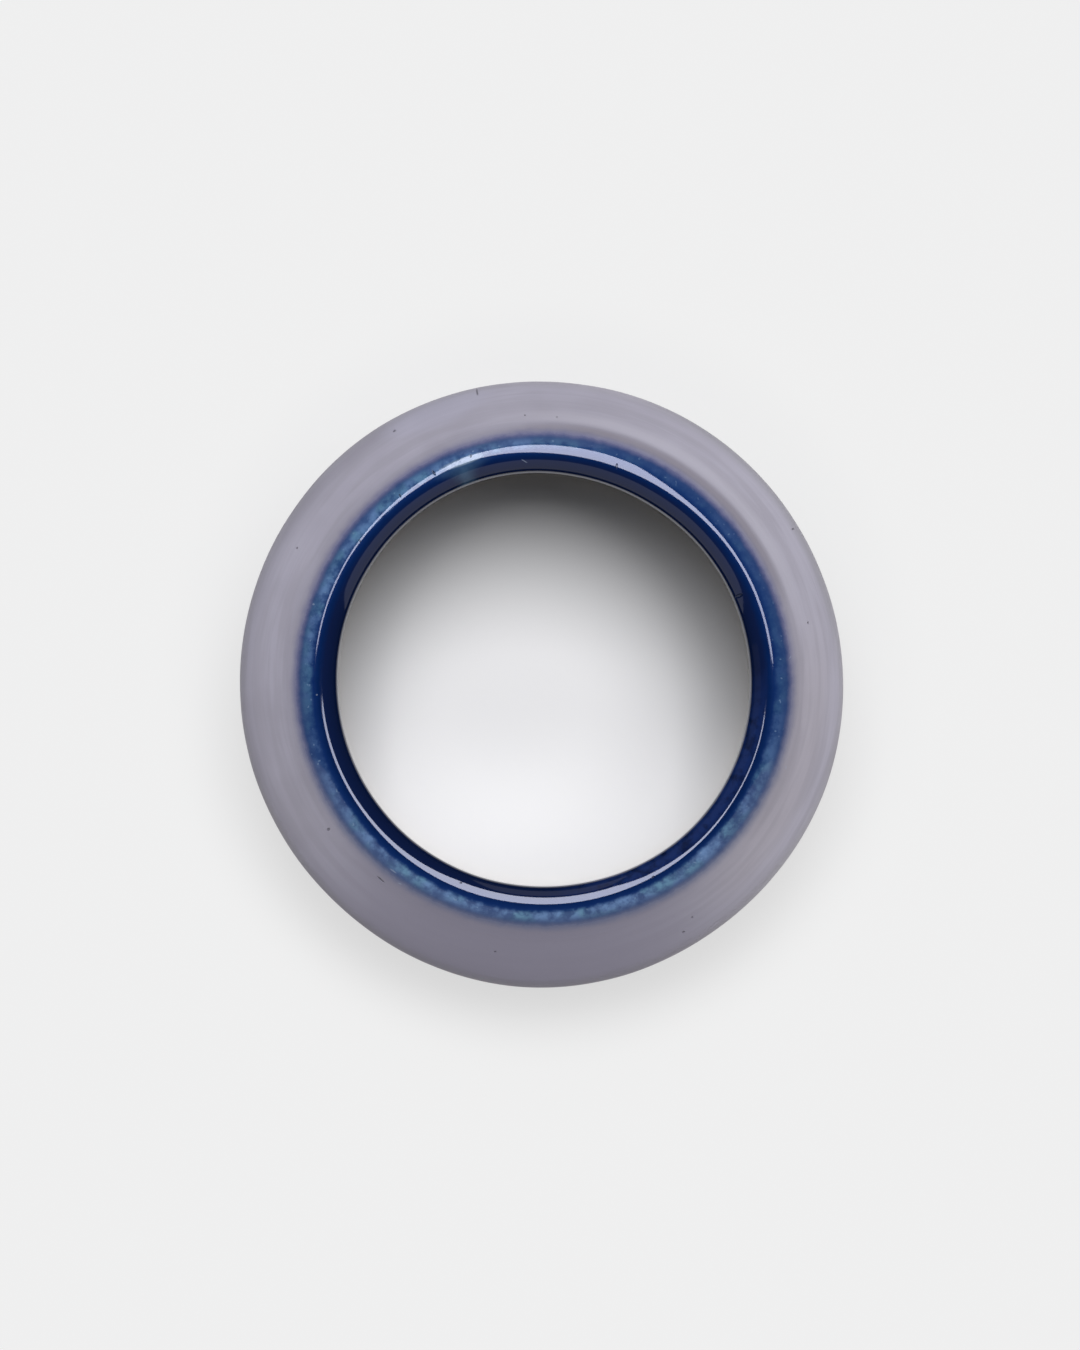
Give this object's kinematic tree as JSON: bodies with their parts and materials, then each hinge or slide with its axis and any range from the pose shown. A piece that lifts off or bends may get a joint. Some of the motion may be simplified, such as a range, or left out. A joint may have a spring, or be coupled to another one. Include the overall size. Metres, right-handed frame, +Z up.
{
  "type": "guitar slide",
  "caption": "Short ceramic guitar slide worn on the finger like a ring, with a gloss rounded lip, satin bevelled flanks and a bare clay foot.",
  "frame": {"origin": "centre of the foot, on the surface the slide stands on", "axes": "+Z up along the axis of the bore, out of the upper lip; X and Y are any two directions across, since the ring is round"},
  "size_m": [0.029, 0.029, 0.012],
  "materials": {
    "bare_clay": "matte unglazed stoneware, ground flat at the foot",
    "gloss_blue_glaze": "gloss",
    "mottled_blue_glaze": "gloss, mottled, fading outwards",
    "satin_lavender_glaze": "satin matte"
  },
  "bodies": {
    "root": {"clay_body": "bare_clay", "liner_glaze": "gloss_blue_glaze", "glaze_overlap": "mottled_blue_glaze", "outer_glaze": "satin_lavender_glaze"}
  },
  "joints": []
}
